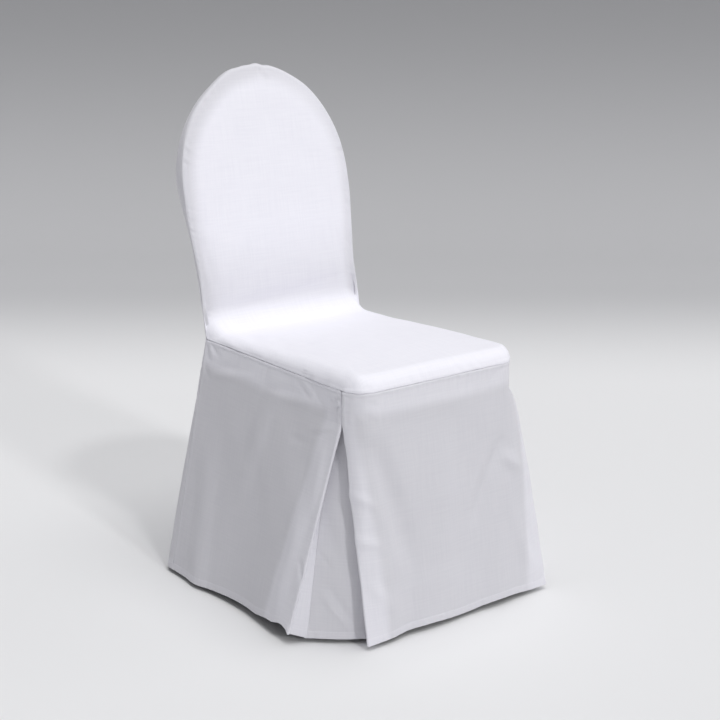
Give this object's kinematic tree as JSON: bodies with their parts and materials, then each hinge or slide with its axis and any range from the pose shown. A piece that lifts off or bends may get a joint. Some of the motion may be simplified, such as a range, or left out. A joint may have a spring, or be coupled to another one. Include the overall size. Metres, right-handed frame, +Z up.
{
  "type": "chair cover",
  "caption": "Fitted white polyester cover for a stackable banquet chair: oval back, soft seat, skirts to the floor, inverted pleat at each front corner. Held under the top of its back.",
  "frame": {"origin": "under the top of the back, half way through its depth, at the mount held_at_back_top; the floor under the hem is at z = -0.936", "axes": "+X to the right as seen from the front, +Y towards the rear, +Z up"},
  "size_m": [0.5273, 0.603, 0.9333],
  "materials": {
    "white_polyester": "matt woven polyester with a faint sheen"
  },
  "bodies": {
    "root": {"inside_back_and_seat": "white_polyester", "outside_back": "white_polyester", "front_skirt": "white_polyester", "left_skirt": "white_polyester", "right_skirt": "white_polyester", "left_pleat_underlay": "white_polyester", "right_pleat_underlay": "white_polyester"}
  },
  "joints": []
}
